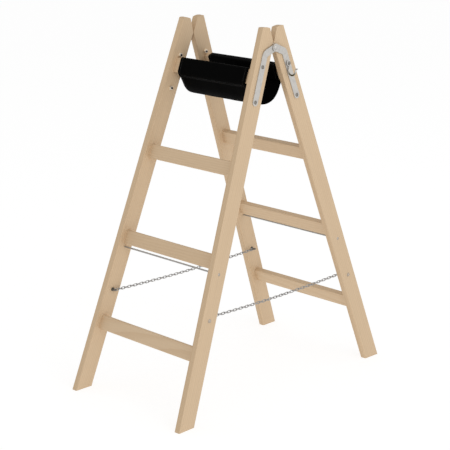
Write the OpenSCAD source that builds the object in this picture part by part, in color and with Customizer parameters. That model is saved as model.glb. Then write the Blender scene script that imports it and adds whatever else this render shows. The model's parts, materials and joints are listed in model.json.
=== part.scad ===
// Wooden trestle ladder: two four-rung sections hinged at the top, kept from spreading by two chains,
// with a cloth tool tray slung between the top rungs and a bucket hook on one hinge bolt.
// Millimetres, +Z up, +X along the rungs. The front section stands at -Y, the rear one at +Y.

/* [Sections] */
// Height of the hinge rivets above the floor
hinge_z = 1080; // [900:5:1300]
// Lean of each section from upright, in degrees
lean = 20.1; // [16:0.1:23]
// Width over the stiles where their corners meet
hinge_w = 363; // [320:1:420]
// Width over the stiles at the floor
foot_w = 488; // [440:1:560]
// Depth of a stile, from its inner to its outer edge
stile_d = 60; // [52:1:70]
// Thickness of a stile
stile_t = 20.5; // [17:0.5:26]
// Rounding of the stiles' long edges
stile_r = 3; // [1:0.5:5]
// Height of the meeting corners above the hinge rivets
corner_up = 10; // [8:0.5:14]
// Angle at which the stile tops are bevelled away from each other
top_bevel = 36.6; // [25:0.1:42]
// Height of the stile tops above the meeting corners
top_up = 40.5; // [34:0.5:50]
// Radius of the crowned stile tops
crown_r = 58; // [50:1:90]
// Depth of the crown's centre behind the inner edge
crown_d = 32; // [28:1:40]

/* [Rungs] */
// Distance of the top rung's centre below the meeting corners
first_rung = 112; // [105:1:140]
// Distance from one rung to the next along the stile
rung_pitch = 280; // [250:1:300]
// Height of a rung along the stile
rung_h = 45; // [36:1:48]
// Thickness of a rung across the stile's depth
rung_t = 19; // [16:0.5:26]
// Rounding of a rung's long edges
rung_r = 3; // [1:0.5:5]
// Height of the tenon on each end of a rung
tenon_h = 30; // [20:1:34]
// Thickness of the tenon
tenon_t = 11; // [8:0.5:14]
// How deep the tenon goes into the stile
tenon_l = 12; // [8:0.5:15]

/* [Hinge straps] */
// Width of the flat bar
strap_w = 22; // [18:1:26]
// Thickness of the flat bar
strap_t = 3; // [2:0.5:4]
// Distance of the strap's knee below the meeting corners
knee = 38; // [34:1:46]
// Radius of the knee on the bar's centre line
knee_r = 18; // [14:1:24]
// Radius of the strap's round head
head_r = 12; // [11:0.5:15]
// Distance of the upper bolt below the meeting corners
upper_bolt = 78; // [72:1:86]
// Distance of the lower bolt below the meeting corners
lower_bolt = 185; // [160:1:240]
// Diameter of the hinge rivet
rivet_d = 8; // [6:0.5:10]
// Diameter of the hinge rivet's heads
rivet_head_d = 14; // [12:0.5:18]
// Height of the hinge rivet's domed head
rivet_head_h = 3; // [2.5:0.5:6]
// Room between the front strap's head and the bend that lifts the rear strap over it
joggle_room = 4; // [3:0.5:6]

/* [Fasteners] */
// Diameter of the bolts
bolt_d = 6; // [5:0.5:8]
// Diameter of the bolts' domed heads
bolt_head_d = 12; // [10:0.5:16]
// Height of the bolts' domed heads
bolt_head_h = 3.4; // [2.5:0.1:5]
// Width of the nuts across flats
nut_w = 10; // [9:0.5:13]
// Height of the nuts
nut_h = 5; // [4:0.5:7]
// Diameter of the washers
washer_d = 16; // [13:0.5:18]
// Thickness of the washers
washer_t = 1.2; // [0.8:0.1:2]
// How far a bolt stands out of its nut
bolt_proud = 2; // [1:0.5:5]

/* [Tie rods] */
// Diameter of the tie rod under the third rung of each section
rod_d = 5; // [4:0.5:8]
// Gap between that rung and the rod
rod_gap = 6.5; // [5:0.5:14]
// Diameter of the rod's peened ends
rod_head_d = 10; // [9:0.5:14]
// Height of the rod's peened ends
rod_head_h = 1.8; // [1:0.1:3]

/* [Chains] */
// Distance of the eye bolts below the meeting corners
chain_at = 844; // [800:1:880]
// Inner length of a chain link
link_l = 13.2; // [12:0.1:18]
// Inner width of a chain link
link_w = 4.8; // [4.6:0.1:7]
// Diameter of the chain wire
link_wire = 2.3; // [2:0.1:3]
// Sag of the chain at its middle
chain_sag = 7; // [2:0.5:12]
// Links between an eye and the place where the folded chain bends past the lowest rung
lead_links = 5; // [4:1:7]
// Inner diameter of the eye
eye_d = 8; // [7:0.5:14]
// Diameter of the eye's wire
eye_wire = 3.5; // [3:0.5:4.5]
// Bare length of the eye bolt between its collar and its eye
eye_neck = 0.5; // [0.5:0.5:6]
// Diameter of the collar on the eye bolt
collar_d = 12; // [10:0.5:16]
// Thickness of that collar
collar_t = 1.5; // [1:0.5:3]
// Diameter of the cap nut outside the stile
cap_nut_d = 13; // [11:0.5:16]
// Height of that cap nut
cap_nut_h = 4.5; // [4:0.1:6]
// Thickness of its crown over the end of the bolt
cap_crown = 1.8; // [1.5:0.1:2.2]

/* [Tool tray] */
// Length of the tray along the rungs
tray_l = 290; // [240:1:310]
// Thickness of the tray cloth
cloth_t = 1.8; // [1:0.1:3]
// Drop of the tray's floor below the sleeves
tray_drop = 74; // [50:1:90]
// Slope of the tray's walls, in degrees
tray_wall = 58; // [50:1:70]
// Radius between a wall and the floor
tray_bend = 45; // [25:1:50]

/* [Bucket hook] */
// Diameter of the hook's wire
hook_wire = 5; // [4:0.5:6]
// Distance from the bolt to the start of the hook's bend
hook_drop = 22; // [16:1:30]
// Radius of the bend, on the wire's centre line
hook_r = 14; // [12:1:22]
// Radius of the neck between the shank and the eye
hook_neck_r = 4; // [3.5:0.5:6]
// Lean of the shank as the hook hangs, in degrees
hook_hang = 9; // [0:1:15]
// Length of the straight end of the hook
hook_end = 1; // [1:0.5:8]
// Turn of the flared tip, in degrees
hook_flare = 110; // [30:1:120]
// Radius of the flare
hook_flare_r = 5; // [4:0.5:14]

/* [Fits] */
// Gap between the meeting corners of the open sections
corner_gap = 0.3; // [0.2:0.05:0.6]
// Gap round a tenon, a bolt or a rod in the wood
wood_fit = 0.15; // [0.1:0.05:0.4]
// Gap between a nut or washer and its bolt
thread_fit = 0.08; // [0.05:0.01:0.15]
// Running gap round the hinge rivet
pivot_fit = 0.05; // [0.03:0.01:0.1]
// Gap between the two strap heads, and each side of the hook's eye
head_gap = 0.4; // [0.3:0.1:0.8]
// Gap between neighbouring chain links, and round the hook's bolt
link_gap = 0.3; // [0.2:0.05:0.6]
// Gap between the tray cloth and what it hangs on
cloth_gap = 0.3; // [0.2:0.05:0.6]

/* [Hidden] */

$fn = 48;
spruce = "#CFB594";
zinc = "#BFC1C4";
dark_steel = "#6E6F70";
black_cloth = "#101012";

mid = stile_d / 2;
corner_z = hinge_z + corner_up;
leg_l = corner_z / cos(lean);
splay = atan((foot_w - hinge_w) / 2 / leg_l);
far = 2 * leg_l;
rung_count = 4;
rod_at = first_rung + 2 * rung_pitch + rung_h / 2 + rod_gap + rod_d / 2;

// Section coordinates: y runs inward from the stiles' inner edges, z runs up along the section.
function world(p) = [
    p[0],
    p[1] * cos(lean) + p[2] * sin(lean) - corner_gap / 2,
    p[2] * cos(lean) - p[1] * sin(lean) + corner_z
];
// Stile coordinates: x runs outward from the right stile's outer face.
function from_stile(p) = [
    hinge_w / 2 + p[0] * cos(splay) - p[2] * sin(splay),
    p[1],
    p[2] * cos(splay) + p[0] * sin(splay)
];
function rung_at(n) = first_rung + (n - 1) * rung_pitch;

// Points along an arc, and an outline's points taken backwards.
arc_steps = 12;
function arc(centre, r, from, to) = [
    for (i = [0:arc_steps])
        let (a = from + (to - from) * i / arc_steps)
            centre + r * [cos(a), sin(a)]
];
function reversed(points) = [for (i = [len(points) - 1:-1:0]) points[i]];

// The hinge axis in section coordinates, and the strap's arm from its knee to that axis.
pivot_y = corner_up * sin(lean) + corner_gap / 2 * cos(lean);
pivot_z = corner_gap / 2 * sin(lean) - corner_up * cos(lean);
arm_y = pivot_y + mid;
arm_z = pivot_z + knee;
arm_l = norm([arm_y, arm_z]);
arm_deg = atan2(arm_z, arm_y);
knee_turn = 90 - arm_deg;
knee_tangent = knee_r * tan(knee_turn / 2);
knee_start = knee + knee_tangent;
head_x = hinge_w / 2 + (knee_start + strap_w / 4) * tan(splay);
head_step = strap_t + head_gap;
joggle_l = 2 * strap_t;
joggle_at = head_r + joggle_room;
rivet_foot = head_x - hinge_w / 2 - (rivet_head_d / 2 - pivot_z) * tan(splay) - head_gap;
rivet_l = head_step + strap_t + head_gap / 2;
bolt_inside = stile_t + washer_t + nut_h + bolt_proud;

// Chain between the wires of its two eyes, with an even number of steps from link to link.
eye_mean_r = (eye_d + eye_wire) / 2;
eye_reach = collar_t + eye_neck + eye_wire + eye_d / 2;
eye_at = world(from_stile([-stile_t - eye_reach, -mid, -chain_at]));
chain_half = -eye_at[1] - eye_mean_r;
cap_depth = cap_nut_h - cap_crown;
end_link = (link_l - eye_wire) / 2 - link_gap;
chain_steps = 2 * ceil((chain_half - end_link) / (link_l - link_gap));
link_step = 2 * (chain_half - end_link) / chain_steps;
middle_link = chain_steps / 2;
last_link = chain_steps;
function link_y(i) = end_link - chain_half + i * link_step;
function chain_z(y) = eye_at[2] - chain_sag * (1 - pow(y / chain_half, 2));
function chain_slope(y) = atan(2 * chain_sag * y / pow(chain_half, 2));

// Tray profile: sleeves round the top rungs and one trough that leaves their lower outer corners smoothly.
sleeve_h = rung_h + 2 * (cloth_gap + cloth_t);
sleeve_t = rung_t + 2 * (cloth_gap + cloth_t);
sleeve_r = rung_r + cloth_gap + cloth_t;
sleeve_corner = world([0, sleeve_r - mid - sleeve_t / 2, sleeve_r - first_rung - sleeve_h / 2]);
hang = sleeve_corner - sleeve_r * [0, sin(tray_wall), cos(tray_wall)];
tray_floor_z = hang[2] - tray_drop;
tray_corner_y = hang[1] + tray_drop / tan(tray_wall);
tray_tangent = tray_bend * tan(tray_wall / 2);

// The hook's wire: a neck that curves from the shank to the lowest point of an open eye round the bolt.
hook_eye_r = bolt_d / 2 + link_gap + hook_wire / 2;
hook_neck_z = hook_eye_r + hook_neck_r;
hook_end_d = hook_neck_r + hook_wire + link_gap;
hook_eye_sum = pow(hook_eye_r, 2) + pow(hook_neck_z, 2) - pow(hook_end_d, 2);
hook_eye_turn = 360 - acos(hook_eye_sum / (2 * hook_eye_r * hook_neck_z));
hook_seat = 2 * head_gap + hook_wire;
hook_at_front = world(from_stile([strap_t + head_gap + hook_wire / 2, -mid, -upper_bolt]));
hook_at = [hook_at_front[0], -hook_at_front[1], hook_at_front[2]];

echo(eye_at = eye_at, chain_half = chain_half, link_step = link_step, links = last_link + 1);
echo(bend_y = (link_y(lead_links - 1) + link_y(lead_links)) / 2);
echo(bend_z = chain_z((link_y(lead_links - 1) + link_y(lead_links)) / 2));
echo(hook_at = hook_at, splay = splay, hang = hang, tray_floor_z = tray_floor_z, corner_z = corner_z);

module front() {
    translate([0, -corner_gap / 2, corner_z])
        rotate([-lean, 0, 0])
            children();
}

module section(end) {
    if (end == "front")
        front() children();
    else
        mirror([0, 1, 0]) front() children();
}

module right_face() {
    translate([hinge_w / 2, 0, 0])
        rotate([0, -splay, 0])
            children();
}

module on_side(side) {
    if (side == "right")
        children();
    else
        mirror([1, 0, 0]) children();
}

module on_stile(side) {
    on_side(side) right_face() children();
}

// Turns a flat outline in (y, z) into a plate of the given thickness along +X.
module plate(thickness) {
    rotate([90, 0, 90])
        linear_extrude(thickness)
            children();
}

module rounded_rect(w, h, r) {
    square([w - 2 * r, h], center = true);
    square([w, h - 2 * r], center = true);
    for (i = [-1, 1], j = [-1, 1])
        translate([i * (w / 2 - r), j * (h / 2 - r)])
            circle(r);
}

// A bar along X, centred on the origin.
module bar(length, depth, height, r) {
    translate([-length / 2, 0, 0])
        plate(length)
            rounded_rect(depth, height, r);
}

// A round rod along +X from the origin.
module rod(r, length) {
    rotate([0, 90, 0])
        cylinder(r = r, h = length);
}

// A low dome on the plane x = 0, rising along +X.
module dome(d, h) {
    ball_r = (pow(d / 2, 2) + h * h) / (2 * h);
    rotate([0, 90, 0])
        rotate_extrude()
            intersection() {
                translate([0, h - ball_r])
                    circle(ball_r);
                square([d, h]);
            }
}

// A hexagon nut on the plane x = 0, rising along -X, with its bore.
module nut() {
    rotate([0, -90, 0])
        difference() {
            cylinder(d = nut_w / cos(30), h = nut_h, $fn = 6);
            translate([0, 0, -nut_h])
                cylinder(r = bolt_d / 2 + thread_fit, h = 3 * nut_h);
        }
}

// Keeps what lies between the stiles, and up to the given depth inside them.
module between_stiles(depth) {
    difference() {
        children();
        for (side = ["left", "right"])
            on_stile(side)
                translate([depth - stile_t, -far / 2, -far])
                    cube([far, far, 2 * far]);
    }
}

module at_rung(n) {
    translate([0, -mid, -rung_at(n)]) children();
}

module stile_blank() {
    difference() {
        translate([-stile_t / 2, -mid, -leg_l - stile_d])
            linear_extrude(leg_l + stile_d + top_up)
                rounded_rect(stile_t, stile_d, stile_r);
        rotate([top_bevel, 0, 0])
            translate([-2 * stile_t, 0, 0])
                cube([4 * stile_t, far, far]);
        difference() {
            translate([-2 * stile_t, -2 * stile_d, 0])
                cube([4 * stile_t, 4 * stile_d, 2 * top_up]);
            translate([-2 * stile_t, -crown_d, top_up - crown_r])
                rod(crown_r, 4 * stile_t);
        }
    }
}

module stile_holes() {
    for (z = [upper_bolt, lower_bolt, chain_at])
        translate([-2 * stile_t, -mid, -z])
            rod(bolt_d / 2 + wood_fit, 4 * stile_t);
}

module stile(end, side) {
    color(spruce)
        difference() {
            section(end)
                difference() {
                    on_stile(side) stile_blank();
                    on_stile(side) stile_holes();
                    for (n = [1:rung_count])
                        between_stiles(tenon_l + wood_fit)
                            at_rung(n) tenon_bar(wood_fit);
                    translate([-far / 2, -mid, -rod_at])
                        rod(rod_d / 2 + wood_fit, far);
                }
            translate([-far, -far, -far])
                cube([2 * far, 2 * far, far]);
        }
}

module tenon_bar(fit) {
    bar(foot_w, tenon_t + 2 * fit, tenon_h + 2 * fit, rung_r);
}

module rung(end, n) {
    color(spruce)
        section(end) {
            between_stiles(0)
                at_rung(n) bar(foot_w, rung_t, rung_h, rung_r);
            between_stiles(tenon_l)
                at_rung(n) tenon_bar(0);
        }
}

module strap_leg() {
    plate(strap_t) {
        translate([-mid - strap_w / 2, -lower_bolt])
            square([strap_w, lower_bolt - knee_start + strap_t / 2]);
        translate([-mid, -lower_bolt])
            circle(strap_w / 2);
    }
}

// The strap's arm lies along Y here, from the hinge axis at the origin to the knee, which turns towards Z.
module at_strap_arm() {
    translate([head_x, pivot_y, pivot_z])
        rotate([arm_deg + 180, 0, 0])
            children();
}

// The arm from a given distance off the hinge axis, with the knee.
module strap_arm(from) {
    knee_centre = [arm_l - knee_tangent, knee_r];
    polygon(concat(
        [[from, -strap_w / 2]],
        arc(knee_centre, knee_r + strap_w / 2, -90, knee_turn - 90),
        arc(knee_centre, knee_r - strap_w / 2, knee_turn - 90, -90),
        [[from, strap_w / 2]]
    ));
}

module front_strap_top() {
    plate(strap_t) {
        strap_arm(0);
        circle(head_r);
    }
}

// The rear strap steps out by one thickness, so that its head lies over the front one.
module rear_strap_top() {
    plate(strap_t)
        strap_arm(joggle_at + joggle_l);
    translate([0, 0, -strap_w / 2])
        linear_extrude(strap_w)
            polygon([
                [head_step, 0],
                [head_step + strap_t, 0],
                [head_step + strap_t, joggle_at],
                [strap_t, joggle_at + joggle_l],
                [0, joggle_at + joggle_l],
                [head_step, joggle_at]
            ]);
    translate([head_step, 0, 0])
        plate(strap_t)
            circle(head_r);
}

module hinge_strap(end, side) {
    color(zinc)
        section(end)
            on_side(side)
                difference() {
                    union() {
                        right_face() strap_leg();
                        at_strap_arm() {
                            if (end == "front")
                                front_strap_top();
                            else
                                rear_strap_top();
                        }
                    }
                    right_face()
                        for (z = [upper_bolt, lower_bolt])
                            translate([-strap_t, -mid, -z])
                                rod(bolt_d / 2 + wood_fit, 3 * strap_t);
                    translate([0, pivot_y, pivot_z])
                        rod(rivet_d / 2 + pivot_fit, hinge_w);
                }
}

// A rivet with a broad foot against the stile and a shank that runs into its domed head.
module hinge_rivet(side) {
    color(zinc)
        section("front")
            on_side(side)
                translate([head_x, pivot_y, pivot_z]) {
                    translate([-rivet_foot, 0, 0]) {
                        rod(rivet_head_d / 2, rivet_foot);
                        rod(rivet_d / 2, rivet_foot + rivet_l + rivet_head_h / 4);
                    }
                    translate([rivet_l, 0, 0])
                        dome(rivet_head_d, rivet_head_h);
                }
}

// One bolt through a stile, its head lifted off the strap by what hangs on it.
module bolt(lift) {
    color(dark_steel)
        translate([strap_t + lift, 0, 0]) {
            dome(bolt_head_d, bolt_head_h);
            rotate([0, 180, 0])
                rod(bolt_d / 2, strap_t + lift + bolt_inside);
        }
}

module washer() {
    color(zinc)
        translate([-washer_t, 0, 0])
            difference() {
                rod(washer_d / 2, washer_t);
                translate([-washer_t, 0, 0])
                    rod(bolt_d / 2 + thread_fit, 3 * washer_t);
            }
}

module at_hinge_bolt(end, side, at) {
    section(end)
        on_stile(side)
            translate([0, -mid, -at])
                children();
}

// What repeats at the four hinge bolts of one section.
module at_hinge_bolts(end) {
    for (side = ["left", "right"], at = [upper_bolt, lower_bolt])
        at_hinge_bolt(end, side, at) children();
}

module front_hinge_bolts() {
    at_hinge_bolts("front") bolt(0);
}

// The right upper bolt, which also carries the hook, is a piece of its own.
module rear_hinge_bolts() {
    for (side = ["left", "right"])
        at_hinge_bolt("rear", side, lower_bolt) bolt(0);
    at_hinge_bolt("rear", "left", upper_bolt) bolt(0);
}

module hook_bolt() {
    at_hinge_bolt("rear", "right", upper_bolt) bolt(hook_seat);
}

module hinge_washers(end) {
    at_hinge_bolts(end)
        translate([-stile_t, 0, 0])
            washer();
}

module hinge_nuts(end) {
    color(dark_steel)
        at_hinge_bolts(end)
            translate([-stile_t - washer_t, 0, 0])
                nut();
}

module wire_bend(r, turn) {
    rotate_extrude(angle = turn)
        translate([r, 0])
            circle(d = hook_wire);
}

// The wire's bends and straights, with the bolt through the eye along X and the shank below it.
module hook_wire_form() {
    rotate([0, 90, 0])
        wire_bend(hook_eye_r, hook_eye_turn);
    translate([0, 0, -hook_neck_z])
        rotate([0, 90, 0])
            rotate(180)
                wire_bend(hook_neck_r, 90);
    translate([0, -hook_neck_r, -hook_drop]) {
        cylinder(d = hook_wire, h = hook_drop - hook_neck_z);
        translate([hook_r, 0, 0])
            rotate([-90, 0, 0])
                wire_bend(hook_r, 180);
        translate([2 * hook_r, 0, 0])
            cylinder(d = hook_wire, h = hook_end);
        translate([2 * hook_r + hook_flare_r, 0, hook_end])
            mirror([1, 0, 0])
                rotate([90, 0, 0])
                    wire_bend(hook_flare_r, hook_flare);
    }
}

module bucket_hook() {
    color(zinc)
        at_hinge_bolt("rear", "right", upper_bolt)
            translate([strap_t + head_gap + hook_wire / 2, 0, 0])
                rotate([lean + hook_hang, 0, 0])
                    hook_wire_form();
}

module tie_rod(end) {
    at = from_stile([0, -mid, -rod_at / cos(splay)]);
    color(zinc)
        section(end) {
            translate([-at[0], -mid, -rod_at])
                rod(rod_d / 2, 2 * at[0]);
            for (side = ["left", "right"])
                on_stile(side)
                    translate([0, -mid, -rod_at / cos(splay)])
                        dome(rod_head_d, rod_head_h);
        }
}

module mirrored(end, side) {
    on_side(side) {
        if (end == "front")
            children();
        else
            mirror([0, 1, 0]) children();
    }
}

module eye_bolt(end, side) {
    color(dark_steel) {
        section(end)
            on_stile(side)
                translate([0, -mid, -chain_at]) {
                    translate([eye_mean_r - stile_t - eye_reach, 0, 0])
                        rod(bolt_d / 2, stile_t + eye_reach - eye_mean_r + cap_depth - thread_fit);
                    translate([-stile_t - collar_t, 0, 0])
                        rod(collar_d / 2, collar_t);
                }
        mirrored(end, side)
            translate(eye_at)
                rotate_extrude()
                    translate([eye_mean_r, 0])
                        circle(eye_wire / 2);
    }
}

module cap_nuts(end) {
    color(zinc)
        section(end)
            for (side = ["left", "right"])
                on_stile(side)
                    translate([0, -mid, -chain_at])
                        difference() {
                            dome(cap_nut_d, cap_nut_h);
                            translate([-cap_depth, 0, 0])
                                rod(bolt_d / 2 + thread_fit, 2 * cap_depth);
                        }
}

// One link along Y, flat in the XY plane, with its wire's two straight sides and two round ends.
module flat_link() {
    end_r = (link_w + link_wire) / 2;
    straight = link_l - link_w;
    for (turn = [0, 180])
        rotate(turn) {
            translate([0, straight / 2, 0])
                rotate_extrude(angle = 180)
                    translate([end_r, 0])
                        circle(link_wire / 2);
            translate([end_r, 0, 0])
                rotate([90, 0, 0])
                    cylinder(d = link_wire, h = straight, center = true);
        }
}

// Links from one number to another; every second one lies flat.
module chain(side, first, last) {
    color(zinc)
        on_side(side)
            for (i = [first:last])
                translate([eye_at[0], link_y(i), chain_z(link_y(i))])
                    rotate([chain_slope(link_y(i)), i % 2 == 0 ? 90 : 0, 0])
                        flat_link();
}

module sleeve(end) {
    color(black_cloth)
        section(end)
            at_rung(1)
                difference() {
                    bar(tray_l, sleeve_t, sleeve_h, sleeve_r);
                    bar(foot_w, rung_t + 2 * cloth_gap, rung_h + 2 * cloth_gap, rung_r + cloth_gap);
                }
}

// The trough's cross-section line, set in from its outer face: wall, bend, floor, bend and wall.
function trough_line(inset) =
    let (
        top = [hang[1], hang[2]] + inset * [sin(tray_wall), cos(tray_wall)],
        bend = [tray_corner_y + tray_tangent, tray_floor_z + tray_bend],
        front = concat([top], arc(bend, tray_bend - inset, 270 - tray_wall, 270))
    )
    concat(front, reversed([for (p = front) [-p[0], p[1]]]));

module tray_trough() {
    color(black_cloth)
        difference() {
            translate([-tray_l / 2, 0, 0])
                plate(tray_l)
                    polygon(concat(trough_line(0), reversed(trough_line(cloth_t))));
            for (end = ["front", "rear"])
                section(end)
                    at_rung(1)
                        bar(foot_w, sleeve_t + 2 * cloth_gap, sleeve_h + 2 * cloth_gap, sleeve_r + cloth_gap);
        }
}

stile("front", "left");  // front_left_stile
stile("front", "right");  // front_right_stile
stile("rear", "left");  // rear_left_stile
stile("rear", "right");  // rear_right_stile
rung("front", 1);  // front_rung_1
rung("front", 2);  // front_rung_2
rung("front", 3);  // front_rung_3
rung("front", 4);  // front_rung_4
rung("rear", 1);  // rear_rung_1
rung("rear", 2);  // rear_rung_2
rung("rear", 3);  // rear_rung_3
rung("rear", 4);  // rear_rung_4
hinge_strap("front", "left");  // front_left_hinge_strap
hinge_strap("front", "right");  // front_right_hinge_strap
hinge_strap("rear", "left");  // rear_left_hinge_strap
hinge_strap("rear", "right");  // rear_right_hinge_strap
hinge_rivet("left");  // left_hinge_rivet
hinge_rivet("right");  // right_hinge_rivet
front_hinge_bolts();
hinge_washers("front");  // front_hinge_washers
hinge_nuts("front");  // front_hinge_nuts
rear_hinge_bolts();
hinge_washers("rear");  // rear_hinge_washers
hinge_nuts("rear");  // rear_hinge_nuts
hook_bolt();
bucket_hook();
tie_rod("front");  // front_tie_rod
tie_rod("rear");  // rear_tie_rod
eye_bolt("front", "left");  // front_left_eye_bolt
eye_bolt("front", "right");  // front_right_eye_bolt
eye_bolt("rear", "left");  // rear_left_eye_bolt
eye_bolt("rear", "right");  // rear_right_eye_bolt
cap_nuts("front");  // front_cap_nuts
cap_nuts("rear");  // rear_cap_nuts
chain("left", 0, lead_links - 1);  // left_chain_front_lead
chain("left", lead_links, middle_link);  // left_chain_front_run
chain("left", middle_link + 1, last_link - lead_links);  // left_chain_rear_run
chain("left", last_link - lead_links + 1, last_link);  // left_chain_rear_lead
chain("right", 0, lead_links - 1);  // right_chain_front_lead
chain("right", lead_links, middle_link);  // right_chain_front_run
chain("right", middle_link + 1, last_link - lead_links);  // right_chain_rear_run
chain("right", last_link - lead_links + 1, last_link);  // right_chain_rear_lead
sleeve("front");  // tray_front_sleeve
sleeve("rear");  // tray_rear_sleeve
tray_trough();
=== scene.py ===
import json
import math

import bpy
import numpy as np
from mathutils import Matrix, Vector, noise


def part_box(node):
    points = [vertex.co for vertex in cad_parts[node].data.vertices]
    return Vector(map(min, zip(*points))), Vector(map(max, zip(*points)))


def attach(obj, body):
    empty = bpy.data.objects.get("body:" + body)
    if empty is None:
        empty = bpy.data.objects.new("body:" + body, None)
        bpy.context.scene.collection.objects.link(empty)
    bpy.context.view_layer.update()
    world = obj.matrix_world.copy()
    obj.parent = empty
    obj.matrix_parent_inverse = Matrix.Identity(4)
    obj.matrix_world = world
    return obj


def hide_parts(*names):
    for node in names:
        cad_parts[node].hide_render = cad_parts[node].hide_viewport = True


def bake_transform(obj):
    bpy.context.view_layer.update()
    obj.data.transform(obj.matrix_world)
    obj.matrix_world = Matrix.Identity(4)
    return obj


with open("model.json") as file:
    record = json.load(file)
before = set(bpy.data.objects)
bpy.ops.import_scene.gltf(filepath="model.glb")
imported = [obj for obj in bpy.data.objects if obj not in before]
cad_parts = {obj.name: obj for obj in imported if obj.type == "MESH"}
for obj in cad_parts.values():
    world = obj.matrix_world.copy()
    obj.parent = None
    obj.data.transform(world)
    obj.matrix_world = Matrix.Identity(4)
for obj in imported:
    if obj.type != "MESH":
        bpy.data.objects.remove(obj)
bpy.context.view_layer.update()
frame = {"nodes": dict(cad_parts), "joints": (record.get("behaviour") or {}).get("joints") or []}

# Stiles
# Four boards of planed spruce with rounded edges, bevelled at the top and cut level at the foot.
# The rungs are mortised into them, and the bolts and tie rods pass through them.
CORNERS = [f"{end}_{side}" for end in ("front", "rear") for side in ("left", "right")]
STILES = [corner + "_stile" for corner in CORNERS]


def linear(colour):
    """An sRGB hex colour as linear red, green, blue and alpha."""
    parts = [int(colour[i:i + 2], 16) / 255 for i in (1, 3, 5)]
    return [c / 12.92 if c <= 0.04045 else ((c + 0.055) / 1.055) ** 2.4 for c in parts] + [1.0]


def add(tree, kind, inputs, **settings):
    """Adds a node with its settings, and its inputs as values or as links from other nodes."""
    made = tree.nodes.new(kind)
    for name, value in settings.items():
        setattr(made, name, value)
    for name, value in inputs.items():
        if isinstance(value, bpy.types.NodeSocket):
            tree.links.new(value, made.inputs[name])
        else:
            made.inputs[name].default_value = value
    return made


# The places of a mix node's two colours and of its result, whose names other kinds of mix share.
FIRST, SECOND, MIXED = 6, 7, 2

# The length of one wave or ring of a wave texture at a scale of 1.
WAVE = math.pi / 10


def new_material(name):
    """An empty material, its node tree and its shader."""
    material = bpy.data.materials.new(name)
    material.use_nodes = True
    return material, material.node_tree, material.node_tree.nodes["Principled BSDF"]


def coat(names, material):
    """Gives the named nodes one material."""
    for name in names:
        slots = frame["nodes"][name].data.materials
        slots.clear()
        slots.append(material)


def board_axes(board):
    """The directions along, across and through a board, from its longest edge and its largest face."""
    points = [v.co for v in board.data.vertices]
    edges = [points[e.vertices[1]] - points[e.vertices[0]] for e in board.data.edges]
    along = max(edges, key=lambda edge: edge.length).normalized()
    through = max(board.data.polygons, key=lambda face: face.area).normal
    across = through.cross(along).normalized()
    return Matrix((along, across, across.cross(along)))


# Planed spruce, unvarnished: pale straw wood with soft darker bands of late wood that run along the
# board, fine fibres and a dull sheen. Each board has its own tone. Sawn ends are darker, where the
# rings are cut across. The stiles' narrow edges carry a painted shade in the same darker colour. Real
# rings are 2 to 3 mm wide and real fibres far finer, too fine to show at this distance, so they are
# drawn at 7 and 2.2 mm.
RING_WIDTH = 0.007
RING_WAVINESS = 5.0
RING_BEND_LENGTH = 0.09
GRAIN_STRETCH = 0.06
FIBRE_WIDTH = 0.0022
FIBRE_STRETCH = 0.02
FIBRE_RELIEF = 0.0004
TONE_PATCH = 0.11
EARLY_WOOD = "#D9BF9E"
LATE_WOOD = "#CAAB86"
LATE_SHARE = 0.48
SHADED_WOOD = "#CDB08C"
SHADE_RANGE = 0.4
DARK_STREAK = 0.95
PALE_STREAK = 1.03
END_GRAIN_AND_EDGE_SHADE = "#B8976F"
END_SHARE = 0.6

# How squarely a face looks along or across its board where the darker end grain and the painted edge
# shade start and where they are full, as cosines.
DARKENING_STARTS = 0.6
DARKENING_FULL = 0.9


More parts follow.
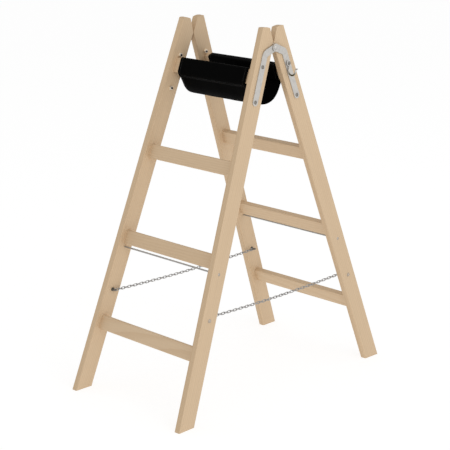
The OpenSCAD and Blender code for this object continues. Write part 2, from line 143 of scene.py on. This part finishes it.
def planed_spruce(board, pith, tone, edge_shade_share):
    """Spruce sawn from a trunk whose pith lies at the given distance across and through the board."""
    material, tree, shader = new_material("planed_spruce_" + board.name)
    axes = board_axes(board)
    place = add(tree, "ShaderNodeTexCoord", {}).outputs["Object"]
    grain = add(tree, "ShaderNodeMapping", {
        "Vector": place, "Rotation": axes.to_euler(), "Location": (0, *pith),
    }).outputs[0]
    long_grain, long_fibre = (
        add(tree, "ShaderNodeMapping", {"Vector": grain, "Scale": (stretch, 1, 1)}).outputs[0]
        for stretch in (GRAIN_STRETCH, FIBRE_STRETCH)
    )
    ring_scale = WAVE / RING_WIDTH
    rings = add(tree, "ShaderNodeTexWave", {
        "Vector": long_grain, "Scale": ring_scale, "Distortion": RING_WAVINESS, "Detail": 2.0,
        "Detail Scale": 1 / (ring_scale * RING_BEND_LENGTH),
    }, wave_type="RINGS", rings_direction="X", wave_profile="SAW").outputs["Fac"]
    late = add(tree, "ShaderNodeMapRange", {
        "Value": rings, "From Min": 0.35, "From Max": 0.95, "To Max": LATE_SHARE,
    }, interpolation_type="SMOOTHSTEP").outputs["Result"]
    fibre = add(tree, "ShaderNodeTexNoise", {
        "Vector": long_fibre, "Scale": 1 / FIBRE_WIDTH, "Detail": 3.0, "Roughness": 0.6,
    }).outputs["Fac"]
    patch = add(tree, "ShaderNodeTexNoise", {
        "Vector": long_grain, "Scale": 1 / TONE_PATCH, "Detail": 2.0,
    }).outputs["Fac"]
    ringed = add(tree, "ShaderNodeMix", {
        "Factor": late, FIRST: linear(EARLY_WOOD), SECOND: linear(LATE_WOOD),
    }, data_type="RGBA").outputs[MIXED]
    shade = add(tree, "ShaderNodeMapRange", {
        "Value": patch, "From Min": 0.35, "From Max": 0.75, "To Min": tone, "To Max": tone + SHADE_RANGE,
    }).outputs["Result"]
    toned = add(tree, "ShaderNodeMix", {
        "Factor": shade, FIRST: ringed, SECOND: linear(SHADED_WOOD),
    }, data_type="RGBA").outputs[MIXED]
    streak = add(tree, "ShaderNodeMapRange", {
        "Value": fibre, "From Min": 0.3, "From Max": 0.7, "To Min": DARK_STREAK, "To Max": PALE_STREAK,
    }).outputs["Result"]
    colour = add(tree, "ShaderNodeMix", {
        "Factor": 1.0, FIRST: toned, SECOND: streak,
    }, data_type="RGBA", blend_type="MULTIPLY").outputs[MIXED]
    facing = add(tree, "ShaderNodeNewGeometry", {}).outputs["True Normal"]
    # Faces that look along the board get the darker end grain. Faces that look across it, the stiles' narrow
    # edges, get a painted shade of the same colour.
    for axis, share in ((axes[0], END_SHARE), (axes[1], edge_shade_share)):
        towards = add(tree, "ShaderNodeVectorMath", {
            0: facing, 1: axis,
        }, operation="DOT_PRODUCT").outputs["Value"]
        either_way = add(tree, "ShaderNodeMath", {0: towards}, operation="ABSOLUTE").outputs[0]
        end_and_edge_darkening = add(tree, "ShaderNodeMapRange", {
            "Value": either_way, "From Min": DARKENING_STARTS, "From Max": DARKENING_FULL, "To Max": share,
        }).outputs["Result"]
        colour = add(tree, "ShaderNodeMix", {
            "Factor": end_and_edge_darkening, FIRST: colour, SECOND: linear(END_GRAIN_AND_EDGE_SHADE),
        }, data_type="RGBA").outputs[MIXED]
    tree.links.new(colour, shader.inputs["Base Color"])
    dull = add(tree, "ShaderNodeMapRange", {"Value": fibre, "To Min": 0.52, "To Max": 0.72}).outputs["Result"]
    tree.links.new(dull, shader.inputs["Roughness"])
    relief = add(tree, "ShaderNodeMath", {0: fibre, 1: late}, operation="ADD").outputs[0]
    bump = add(tree, "ShaderNodeBump", {
        "Height": relief, "Strength": 0.3, "Distance": FIBRE_RELIEF,
    }).outputs[0]
    tree.links.new(bump, shader.inputs["Normal"])
    return material


def spread(step, low, high):
    """A value between two limits that differs for each step of a count."""
    golden = (math.sqrt(5) - 1) / 2
    return low + (high - low) * (step * golden % 1)


# A board's other values are drawn this many steps further on, so that they don't rise together.
THROUGH_STEPS = 7
TONE_STEPS = 3


def saw_boards(names, first, across, through, tone, edge_shade_share):
    """Gives each board its own place in the trunk and its own tone, between the given limits."""
    for step, name in enumerate(names, first):
        pith = (spread(step, *across), spread(step + THROUGH_STEPS, *through))
        board_tone = spread(step + TONE_STEPS, *tone)
        coat([name], planed_spruce(frame["nodes"][name], pith, board_tone, edge_shade_share))


# The stiles' narrow edges carry a painted shade in the end-grain colour.
saw_boards(STILES, 1, across=(-0.04, 0.04), through=(0.05, 0.12), tone=(0.0, 0.2), edge_shade_share=0.25)

# Rungs
# Four flat spruce boards in each section, with rounded edges, tenoned and glued into the stiles.
# They are sawn from the same wood and planed alike, and their edges are as pale as their faces.
RUNGS = [f"{end}_rung_{n}" for end in ("front", "rear") for n in (1, 2, 3, 4)]
saw_boards(RUNGS, 11, across=(-0.03, 0.03), through=(0.04, 0.10), tone=(0.0, 0.3), edge_shade_share=0.0)

# Hinge straps, rivets and washers
# Flat steel bars bent to the top of the ladder, punched for two bolts and one rivet, and zinc plated.
# Each pair of straps turns on a rivet whose inner head is flush and whose outer head is domed.
HINGES = [corner + "_hinge_strap" for corner in CORNERS] + ["left_hinge_rivet", "right_hinge_rivet"]
WASHERS = ["front_hinge_washers", "rear_hinge_washers"]

# Plated or drawn steel: cloudy patches about 9 mm wide, where the finish took unevenly, turn from dull
# to satin, and scratches about 1 mm apart break up its highlights.
MOTTLE = 0.009
SCRATCH = 0.0011
SCRATCH_DEPTH = 0.0001


def mottled_steel(name, pale, dark, dull=0.62, satin=0.44):
    """Steel between two colours, with the roughness of its dull and of its satin places."""
    material, tree, shader = new_material(name)
    place = add(tree, "ShaderNodeTexCoord", {}).outputs["Object"]
    mottle = add(tree, "ShaderNodeTexNoise", {
        "Vector": place, "Scale": 1 / MOTTLE, "Detail": 4.0, "Roughness": 0.55,
    }).outputs["Fac"]
    scratch = add(tree, "ShaderNodeTexNoise", {
        "Vector": place, "Scale": 1 / SCRATCH, "Detail": 2.0,
    }).outputs["Fac"]
    cloud = add(tree, "ShaderNodeMapRange", {
        "Value": mottle, "From Min": 0.3, "From Max": 0.7,
    }).outputs["Result"]
    colour = add(tree, "ShaderNodeMix", {
        "Factor": cloud, FIRST: linear(dark), SECOND: linear(pale),
    }, data_type="RGBA").outputs[MIXED]
    tree.links.new(colour, shader.inputs["Base Color"])
    gloss = add(tree, "ShaderNodeMapRange", {
        "Value": mottle, "To Min": dull, "To Max": satin,
    }).outputs["Result"]
    tree.links.new(gloss, shader.inputs["Roughness"])
    bump = add(tree, "ShaderNodeBump", {
        "Height": scratch, "Strength": 0.05, "Distance": SCRATCH_DEPTH,
    }).outputs[0]
    tree.links.new(bump, shader.inputs["Normal"])
    shader.inputs["Metallic"].default_value = 1.0
    return material


# Zinc-plated steel: pale grey with a satin gloss.
coat(HINGES, mottled_steel("zinc_plated_steel", "#CAC7C2", "#BEBBB7"))

# Yellow-passivated zinc: a pale straw colour, a little lighter than the wood.
coat(WASHERS, mottled_steel("yellow_passivated_zinc", "#E6D6BE", "#D9C6A8"))

# Hinge bolts and nuts
# Domed steel bolts through strap and stile, with hexagon nuts on the washers inside the stiles.
# The bolts are plated a shade greyer than the straps, and the nuts are paler. The bolts' threads carry a
# painted shade.
BOLTS = ["front_hinge_bolts", "rear_hinge_bolts", "hook_bolt"]
NUTS = ["front_hinge_nuts", "rear_hinge_nuts"]


def lay_over(material, share, colour):
    """Lays a colour over a material's own one, by a share that a node gives."""
    tree = material.node_tree
    base = tree.nodes["Principled BSDF"].inputs["Base Color"]
    mixed = add(tree, "ShaderNodeMix", {
        "Factor": share, FIRST: base.links[0].from_socket, SECOND: linear(colour),
    }, data_type="RGBA").outputs[MIXED]
    tree.links.new(mixed, base)


# Aged zinc: a dull mid grey, slightly warm, with a painted shade on the threads, which stand out of the nuts.
# Only the heads face away from the ladder's middle, so the rest of a bolt is its thread. On a head the
# distance from the middle times the sideways part of the normal is over this value.
HEAD_FACING = 0.02
THREAD_SHADE = "#2E2822"
aged = mottled_steel("aged_zinc", "#8F8B86", "#79756F")
tree = aged.node_tree
place = add(tree, "ShaderNodeTexCoord", {}).outputs["Object"]
normal = add(tree, "ShaderNodeNewGeometry", {}).outputs["True Normal"]
sideways = add(tree, "ShaderNodeSeparateXYZ", {"Vector": place}).outputs["X"]
facing = add(tree, "ShaderNodeSeparateXYZ", {"Vector": normal}).outputs["X"]
outward = add(tree, "ShaderNodeMath", {0: sideways, 1: facing}, operation="MULTIPLY").outputs[0]
# Painted shade: the threads and the bolt ends inside the stiles are laid over in a dark brownish colour.
painted_thread_shade = add(tree, "ShaderNodeMath", {0: outward, 1: HEAD_FACING}, operation="LESS_THAN").outputs[0]
lay_over(aged, painted_thread_shade, THREAD_SHADE)
coat(BOLTS, aged)

# Bright zinc: pale and satin, as it comes from the plating bath.
coat(NUTS, mottled_steel("bright_zinc", "#F0ECE6", "#DEDAD4"))

# Bucket hook
# One bent steel wire that hangs with its open eye on the longer bolt of the right rear strap.
# It is plated like the straps, and the low part of its bend carries a painted shade.

# Hook zinc: pale on the shank and tip, with a painted shade of dull brownish steel low in the bend where
# pails hang.
# Above the lowest point, the painted shade ends at the first of these heights and is full below the second.
SHADE_ENDS = 0.016
FULL_SHADE = SHADE_ENDS / 3
BEND_SHADE = "#69644F"
hook_finish = mottled_steel("zinc_with_painted_shade", "#D6D4D1", "#B9B7B3")
tree = hook_finish.node_tree
place = add(tree, "ShaderNodeTexCoord", {}).outputs["Object"]
height = add(tree, "ShaderNodeSeparateXYZ", {"Vector": place}).outputs["Z"]
bend_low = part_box("bucket_hook")[0].z
# Painted shade: the lowest part of the bend is laid over in dull brownish steel.
painted_bend_shade = add(tree, "ShaderNodeMapRange", {
    "Value": height, "From Min": bend_low + SHADE_ENDS, "From Max": bend_low + FULL_SHADE,
}).outputs["Result"]
lay_over(hook_finish, painted_bend_shade, BEND_SHADE)
coat(["bucket_hook"], hook_finish)

# Tie rods
# One thin rod of drawn steel under the third rung of each section, which keeps the stiles on the rungs.
# It passes through both stiles, and its ends are peened over outside.

# Drawn steel: a plain mid grey with a dull sheen, browner where the hammer closed the ends.
PEENED_LENGTH = 0.004
PEENED_STEEL = "#B2A99F"
drawn = mottled_steel("drawn_steel", "#B3B2B0", "#9A9997")
tree = drawn.node_tree
place = add(tree, "ShaderNodeTexCoord", {}).outputs["Object"]
sideways = add(tree, "ShaderNodeSeparateXYZ", {"Vector": place}).outputs["X"]
from_middle = add(tree, "ShaderNodeMath", {0: sideways}, operation="ABSOLUTE").outputs[0]
rod_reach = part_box("front_tie_rod")[1].x
peened = add(tree, "ShaderNodeMath", {
    0: from_middle, 1: rod_reach - PEENED_LENGTH,
}, operation="GREATER_THAN").outputs[0]
lay_over(drawn, peened, PEENED_STEEL)
coat(["front_tie_rod", "rear_tie_rod"], drawn)

# Chains, eye bolts and cap nuts
# Chains of welded steel links, which stop the sections from sliding apart. They are hooked to eye bolts
# through the stiles, whose cap nuts show outside.
CHAINS = [
    f"{side}_chain_{part}"
    for side in ("left", "right")
    for part in ("front_lead", "front_run", "rear_run", "rear_lead")
]
EYE_BOLTS = [corner + "_eye_bolt" for corner in CORNERS]
CAP_NUTS = ["front_cap_nuts", "rear_cap_nuts"]

# Barrel-plated chain wire: a darker zinc than the straps, with worn bright patches.
coat(CHAINS, mottled_steel("barrel_plated_wire", "#B6B4B2", "#92908E"))

# Phosphated steel: a dull dark grey.
coat(EYE_BOLTS, mottled_steel("phosphated_steel", "#88847E", "#67645F"))

# Dulled zinc: greyed and warmed by dust and wear, with hardly a highlight left.
coat(CAP_NUTS, mottled_steel("dulled_zinc", "#C6BBAE", "#BBB1A4", dull=0.8, satin=0.7))

# Tool tray
# A trough of black coated cloth between the top rungs. A sleeve of the same cloth goes round each
# rung and laps over the trough's wall, where two rows of stitching hold it. The hems are turned in.
CLOTH = 0.0014
CLOTH_GAP = 0.0008
LAYER_GAP = 0.0002
TURNED_IN = CLOTH + LAYER_GAP
HEM = 0.013
LAP = 0.016

# The section of a rung, which the sleeves follow.
RUNG_HEIGHT = 0.045
RUNG_THICKNESS = 0.019
RUNG_ROUNDING = 0.003

# The trough leaves the lower outer corner of each sleeve, falls at the slope of its walls and turns into
# its floor in a wide bend. Its skin lies as far from the centre of the rung's corner as the plain solid's.
WALL_SLOPE = math.radians(61.5)
TROUGH_BEND = 0.065
TROUGH_SKIN = 0.0051
BEND_STEPS = 24

# How far from that corner the cloth's inner edges lie.
EDGE_SET = 0.004

# Each section leans by half the angle of the fold.
fold = next(joint for joint in frame["joints"] if joint["name"] == "fold")
lean = math.radians(fold["range_deg"][1] / 2)
rung_low, rung_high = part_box("front_rung_1")
rung_centre = (rung_low + rung_high).yz / 2
trough_low, trough_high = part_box("tray_trough")
tray_half = trough_high.x


def direction(angle):
    """A unit vector in the plane across the tray, as y and z."""
    return Vector((math.cos(angle), math.sin(angle)))


def arc(centre, radius, start, end, steps=8):
    """Points along an arc in the plane across the tray."""
    return [centre + radius * direction(start + (end - start) * i / steps) for i in range(steps + 1)]


def rung_corner(inward, up):
    """The centre of one rounded corner of the front top rung."""
    return (
        rung_centre
        + inward * (RUNG_THICKNESS / 2 - RUNG_ROUNDING) * direction(-lean)
        + up * (RUNG_HEIGHT / 2 - RUNG_ROUNDING) * direction(math.pi / 2 - lean)
    )


# The directions that the walls and the rung's faces look in, as angles in that plane.
floor_out = 1.5 * math.pi
wall_out = floor_out - WALL_SLOPE
outer_face = math.pi - lean
top_face = outer_face - math.pi / 2
inner_face = outer_face - math.pi
under_face = outer_face - 1.5 * math.pi

layer = RUNG_ROUNDING + CLOTH_GAP + TURNED_IN + CLOTH / 2
hang_corner = rung_corner(-1, -1)
wall_skin = hang_corner + TROUGH_SKIN * direction(wall_out)
bend_z = trough_low.z + TROUGH_BEND
bend_y = wall_skin.x + (TROUGH_BEND - (bend_z - wall_skin.y) * math.cos(WALL_SLOPE)) / math.sin(WALL_SLOPE)
wall_top = hang_corner + (layer - 2 * TURNED_IN) * direction(wall_out) + EDGE_SET * direction(-WALL_SLOPE)
front_bend = arc(Vector((bend_y, bend_z)), TROUGH_BEND - CLOTH / 2, wall_out, floor_out, BEND_STEPS)
front_wall = [wall_top] + front_bend
lap_down = (front_bend[0] - wall_top).normalized()

sleeve_line = [hang_corner + layer * direction(wall_out) + LAP * lap_down]
sleeve_line += arc(hang_corner, layer, wall_out, outer_face)
sleeve_line += arc(rung_corner(-1, 1), layer, outer_face, top_face)
sleeve_line += arc(rung_corner(1, 1), layer, top_face, inner_face)
sleeve_line += arc(rung_corner(1, -1), layer, inner_face, under_face)
sleeve_line += [hang_corner + layer * direction(under_face) + EDGE_SET * direction(-lean)]


def mirrored(line):
    """The same line on the rear section, taken backwards so that its outer side stays on its left."""
    return [Vector((-p.x, p.y)) for p in reversed(line)]


trough_line = mirrored(front_wall)[::-1] + front_wall[::-1]

# The grid of the cloth: its steps along a line and its columns along the rung.
CLOTH_STEP = 0.004
COLUMN_STEP = 0.006


def even_steps(line):
    """A line cut into even steps: its points, the normals on its left and the lengths along it."""
    points = np.array(line)
    lengths = np.r_[0, np.cumsum(np.linalg.norm(np.diff(points, axis=0), axis=1))]
    along = np.linspace(0, lengths[-1], round(lengths[-1] / CLOTH_STEP) + 1)
    cut = np.stack([np.interp(along, lengths, points[:, i]) for i in (0, 1)], axis=1)
    tangent = np.gradient(cut, along, axis=0)
    tangent /= np.linalg.norm(tangent, axis=1)[:, None]
    return cut, np.stack([-tangent[:, 1], tangent[:, 0]], axis=1), along


# The waves of the cloth: their lengths along the rung and round it, and their shares of its unevenness.
# Free ends flare over a short length in waves of their own.
BROAD_WAVE = (0.09, 0.07)
BROAD_SHARE = 0.7
SHORT_WAVE = (0.035, 0.05)
SHORT_SHARE = 0.3
SHORT_SEED = 5
END_WAVE = 0.03
END_FLARE = 0.03


def ripple(x, run, size, seed):
    """The soft unevenness of the cloth, fuller near its free ends."""
    broad = noise.noise(Vector((x / BROAD_WAVE[0], run / BROAD_WAVE[1], seed)))
    short = noise.noise(Vector((x / SHORT_WAVE[0], run / SHORT_WAVE[1], seed + SHORT_SEED)))
    near_end = math.exp((abs(x) - tray_half) / END_FLARE)
    flare = near_end * noise.noise(Vector((seed, run / END_WAVE, x)))
    return size * (BROAD_SHARE * broad + SHORT_SHARE * short + flare)


def cloth_strip(line, size, seed):
    """The normals and lengths along a strip of cloth, and the function for a point of its surface."""
    cut, normals, along = even_steps(line)

    def point(row, x, lift):
        """The point in one row of the strip at x, lifted off the line."""
        y, z = cut[row] + (lift + ripple(x, along[row], size, seed)) * normals[row]
        return x, y, z

    return normals, along, point


def cloth_columns():
    """Where the cloth's columns lie along the rung and how far each is lifted, with both ends turned in."""
    lift = -TURNED_IN
    end = [(tray_half - inset, lift) for inset in (HEM, HEM / 2, CLOTH)] + [(tray_half, lift / 2)]
    middle = np.linspace(CLOTH - tray_half, tray_half - CLOTH, round(2 * tray_half / COLUMN_STEP) + 1)
    return [(-x, up) for x, up in end] + [(x, 0.0) for x in middle] + end[::-1]


def in_scene(name, data):
    """An object in the scene for a mesh, a lamp or a camera."""
    made = bpy.data.objects.new(name, data)
    bpy.context.scene.collection.objects.link(made)
    return made


def mesh_object(name, points, faces):
    """An object in the scene with a mesh of the given points and faces."""
    mesh = bpy.data.meshes.new(name)
    mesh.from_pydata(points, [], faces)
    return in_scene(name, mesh)


def cloth_mesh(name, line, size, seed):
    """A hemmed strip of cloth with its weave laid along its length and width, and its flat size."""
    _, along, point = cloth_strip(line, size, seed)
    columns = cloth_columns()
    across = np.r_[0, np.cumsum([math.dist(a, b) for a, b in zip(columns, columns[1:])])]
    points = [point(row, x, lift) for row in range(len(along)) for x, lift in columns]
    wide = len(columns)
    faces = [
        (r * wide + c, r * wide + c + 1, (r + 1) * wide + c + 1, (r + 1) * wide + c)
        for r in range(len(along) - 1)
        for c in range(wide - 1)
    ]
    piece = mesh_object(name, points, faces)
    piece.data.polygons.foreach_set("use_smooth", [True] * len(faces))
    weave = piece.data.attributes.new("weave", "FLOAT_VECTOR", "POINT")
    laid = [(across[c], along[r], 0.0) for r in range(len(along)) for c in range(wide)]
    weave.data.foreach_set("vector", np.array(laid, np.float32).ravel())
    thick = piece.modifiers.new("thickness", "SOLIDIFY")
    thick.thickness = CLOTH
    thick.offset = 0.0
    piece.modifiers.new("normals", "WEIGHTED_NORMAL")
    return piece, (float(across[-1]), float(along[-1]))


# Coated polyester: near black, with the plain weave pressing through a thin coating that hardly shines,
# and a little dust that greys it unevenly. Its threads are under 1 mm apart, too fine to show, and are
# drawn at 2 mm.
THREAD_SPACING = 0.002
WEAVE_DEPTH = 0.0003
DUST_PATCH = 0.05
CLOTH_BLACK = "#010101"
CLOTH_DUSTY = "#040404"
cloth, tree, shader = new_material("coated_polyester")
laid = add(tree, "ShaderNodeAttribute", {}, attribute_name="weave").outputs["Vector"]
warp, weft = (
    add(tree, "ShaderNodeTexWave", {
        "Vector": laid, "Scale": WAVE / THREAD_SPACING,
    }, bands_direction=way).outputs["Fac"]
    for way in "XY"
)
threads = add(tree, "ShaderNodeMath", {0: warp, 1: weft}, operation="MULTIPLY").outputs[0]
bump = add(tree, "ShaderNodeBump", {
    "Height": threads, "Strength": 0.35, "Distance": WEAVE_DEPTH,
}).outputs[0]
tree.links.new(bump, shader.inputs["Normal"])
dust = add(tree, "ShaderNodeTexNoise", {
    "Vector": laid, "Scale": 1 / DUST_PATCH, "Detail": 4.0,
}).outputs["Fac"]
shade = add(tree, "ShaderNodeMix", {
    "Factor": dust, FIRST: linear(CLOTH_BLACK), SECOND: linear(CLOTH_DUSTY),
}, data_type="RGBA").outputs[MIXED]
tree.links.new(shade, shader.inputs["Base Color"])
dull = add(tree, "ShaderNodeMapRange", {"Value": dust, "To Min": 0.6, "To Max": 0.85}).outputs["Result"]
tree.links.new(dull, shader.inputs["Roughness"])
shader.inputs["Specular IOR Level"].default_value = 0.02

# Each strip's line, the size of its unevenness and the seed of its waves.
SLEEVE_RIPPLE = 0.0002
TROUGH_RIPPLE = 0.0012
front_strip = (sleeve_line, SLEEVE_RIPPLE, 1)
rear_strip = (mirrored(sleeve_line), SLEEVE_RIPPLE, 2)
trough_strip = (trough_line, TROUGH_RIPPLE, 3)
front_sleeve, sleeve_flat = cloth_mesh("tray_sleeve_front", *front_strip)
rear_sleeve, _ = cloth_mesh("tray_sleeve_rear", *rear_strip)
trough, trough_flat = cloth_mesh("tray_trough_cloth", *trough_strip)
for piece in (front_sleeve, rear_sleeve, trough):
    piece.data.materials.append(cloth)
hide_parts("tray_front_sleeve")
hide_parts("tray_rear_sleeve")
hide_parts("tray_trough")

# Stitching of the tray
# Lockstitch in black bonded nylon thread, which closes the hems and joins the sleeves to the trough.
# One row runs along each hem and two rows where a sleeve laps the trough.
THREAD = 0.0007
STITCH = 0.0034
STITCH_PITCH = 0.0048
STITCH_SIDES = 6
LAP_ROWS = (0.003, 0.010)
HEM_MARGIN = 0.003
HEM_ROW = tray_half - HEM + HEM_MARGIN

# Places along a stitch as shares of its length from its middle, each with its share of the full girth.
STITCH_TAPER = ((-0.5, 0.3), (-0.3, 1.0), (0.3, 1.0), (0.5, 0.3))


def stitch_mesh(name, stitches):
    """Small tapered stitches, each at a place and with the directions ahead and out of the cloth."""
    points, faces = [], []
    turns = [2 * math.pi * k / STITCH_SIDES for k in range(STITCH_SIDES)]
    bands = len(STITCH_TAPER) - 1
    for here, ahead, out in stitches:
        side = ahead.cross(out)
        first = len(points)
        for reach, girth in STITCH_TAPER:
            for turn in turns:
                ring = math.cos(turn) * side + math.sin(turn) * out
                points.append(here + reach * STITCH * ahead + girth * THREAD / 2 * ring)
        for band in range(bands):
            start = first + band * STITCH_SIDES
            for k in range(STITCH_SIDES):
                low = start + k
                beside = start + (k + 1) % STITCH_SIDES
                faces.append((low, beside, beside + STITCH_SIDES, low + STITCH_SIDES))
        faces.append([first + k for k in reversed(range(STITCH_SIDES))])
        faces.append([first + bands * STITCH_SIDES + k for k in range(STITCH_SIDES)])
    return mesh_object(name, points, faces)


def hem_stitches(line, size, seed):
    """One row of stitches along each hemmed end of a strip."""
    normals, along, point = cloth_strip(line, size, seed)
    every = np.arange(STITCH_PITCH, along[-1] - STITCH_PITCH / 2, STITCH_PITCH)
    stitches = []
    for x in (-HEM_ROW, HEM_ROW):
        path = np.array([point(row, x, CLOTH / 2) for row in range(len(along))])
        for run in every:
            here, ahead = (
                Vector([np.interp(s, along, path[:, i]) for i in range(3)]) for s in (run, run + THREAD)
            )
            out = Vector((0, *[np.interp(run, along, normals[:, i]) for i in (0, 1)])).normalized()
            stitches.append((here, (ahead - here).normalized(), out))
    return stitches


def lap_stitches(line, size, seed, from_end):
    """Two rows of stitches along the lap of a sleeve, measured from the lap's free edge."""
    normals, along, point = cloth_strip(line, size, seed)
    places = np.arange(STITCH_PITCH - HEM_ROW, HEM_ROW - STITCH_PITCH / 2, STITCH_PITCH)
    sideways = Vector((1, 0, 0))
    stitches = []
    for offset in LAP_ROWS:
        run = along[-1] - offset if from_end else offset
        row = int(np.argmin(abs(along - run)))
        out = Vector((0, *normals[row]))
        stitches += [(Vector(point(row, x, CLOTH / 2)), sideways, out) for x in places]
    return stitches


front_stitches = hem_stitches(*front_strip) + lap_stitches(*front_strip, from_end=False)
rear_stitches = hem_stitches(*rear_strip) + lap_stitches(*rear_strip, from_end=True)
front_thread = stitch_mesh("tray_stitching_front", front_stitches)
rear_thread = stitch_mesh("tray_stitching_rear", rear_stitches)
trough_thread = stitch_mesh("tray_stitching_trough", hem_stitches(*trough_strip))

# Bonded nylon thread: black with a faint sheen, a shade lighter than the cloth, and uneven at each twist.
THREAD_BLACK = "#0C0C0D"
THREAD_GREY = "#18181A"
nylon, tree, shader = new_material("bonded_nylon_thread")
twist = add(tree, "ShaderNodeTexNoise", {"Scale": 1 / THREAD, "Detail": 2.0}).outputs["Fac"]
shade = add(tree, "ShaderNodeMix", {
    "Factor": twist, FIRST: linear(THREAD_BLACK), SECOND: linear(THREAD_GREY),
}, data_type="RGBA").outputs[MIXED]
tree.links.new(shade, shader.inputs["Base Color"])
shader.inputs["Roughness"].default_value = 0.5
for piece in (front_thread, rear_thread, trough_thread):
    piece.data.materials.append(nylon)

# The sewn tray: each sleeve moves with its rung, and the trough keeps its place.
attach(front_sleeve, "front_section")
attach(front_thread, "front_section")
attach(rear_sleeve, "rear_section")
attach(rear_thread, "rear_section")
for piece in (trough, trough_thread):
    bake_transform(piece)

# Studio
# A floor of white paper under soft light from the right and from above, with a white room round it.
# The camera stands at the photograph's angle.
FLOOR_HALF = 40.0
square = ((-1, -1), (1, -1), (1, 1), (-1, 1))
floor = mesh_object("floor", [(x * FLOOR_HALF, y * FLOOR_HALF, 0) for x, y in square], [(0, 1, 2, 3)])


def seen_rays(tree):
    """One for camera, glossy and transmission rays, and zero for the rays that light the object."""
    path = add(tree, "ShaderNodeLightPath", {}).outputs
    mirror = add(tree, "ShaderNodeMath", {
        0: path["Is Glossy Ray"], 1: path["Is Transmission Ray"],
    }, operation="MAXIMUM").outputs[0]
    return add(tree, "ShaderNodeMath", {0: path["Is Camera Ray"], 1: mirror}, operation="MAXIMUM").outputs[0]


# Matt white paper on a light table: it reads white to the camera, keeps a soft shadow and gives the
# undersides of the ladder a soft light.
PAPER_WHITE = "#F9F9F9"
FLOOR_GLOW = 0.6
FLOOR_BOUNCE = 1.28
FLOOR_SEEN = 1.24
WHITE = (1, 1, 1, 1)
paper, tree, shader = new_material("white_paper")
shader.inputs["Base Color"].default_value = linear(PAPER_WHITE)
shader.inputs["Roughness"].default_value = 0.9
shader.inputs["Specular IOR Level"].default_value = 0.0
level = add(tree, "ShaderNodeMapRange", {
    "Value": seen_rays(tree), "To Min": FLOOR_BOUNCE, "To Max": FLOOR_SEEN,
}).outputs["Result"]
glow = add(tree, "ShaderNodeEmission", {"Color": WHITE, "Strength": level}).outputs[0]
mixed = add(tree, "ShaderNodeMixShader", {0: FLOOR_GLOW, 1: shader.outputs[0], 2: glow}).outputs[0]
tree.links.new(mixed, tree.nodes["Material Output"].inputs["Surface"])
floor.data.materials.append(paper)

# The room is white to the camera and in the metal, and lights the ladder less.
WORLD_LIGHT = 0.63
WORLD_SEEN = 1.0
world = bpy.data.worlds.new("studio")
bpy.context.scene.world = world
world.use_nodes = True
tree = world.node_tree
strength = add(tree, "ShaderNodeMapRange", {
    "Value": seen_rays(tree), "To Min": WORLD_LIGHT, "To Max": WORLD_SEEN,
}).outputs["Result"]
background = tree.nodes["Background"]
background.inputs["Color"].default_value = WHITE
tree.links.new(strength, background.inputs["Strength"])

SOFTBOX_SIZE = 4.5
LAMP_AIM = Vector((0, 0, 0.6))


def softbox(name, place, level):
    """A square lamp that lights a surface facing it to the given level at the ladder."""
    away = Vector(place) - LAMP_AIM
    lamp = bpy.data.lights.new(name, "AREA")
    lamp.size = SOFTBOX_SIZE
    lamp.energy = level * math.pi ** 2 * away.length_squared
    holder = in_scene(name, lamp)
    holder.location = place
    holder.rotation_euler = away.to_track_quat("Z", "Y").to_euler()


softbox("key_softbox", place=(5.0, -0.6, 2.6), level=0.16)
softbox("top_softbox", place=(0.0, 0.0, 5.0), level=0.06)

# The camera was fitted to the ladder's edges in the photograph.
SENSOR_WIDTH = 36.0
LENS = 112.606
CAMERA_PLACE = (3.0115, -3.0757, 1.6973)
CAMERA_TILT = math.radians(74.397)
CAMERA_TURN = math.radians(44.610)
camera_data = bpy.data.cameras.new("camera")
camera_data.sensor_width = SENSOR_WIDTH
camera_data.lens = LENS
camera = in_scene("camera", camera_data)
camera.location = CAMERA_PLACE
camera.rotation_euler = (CAMERA_TILT, 0, CAMERA_TURN)
bpy.context.scene.camera = camera
bpy.context.scene.view_settings.view_transform = "Standard"
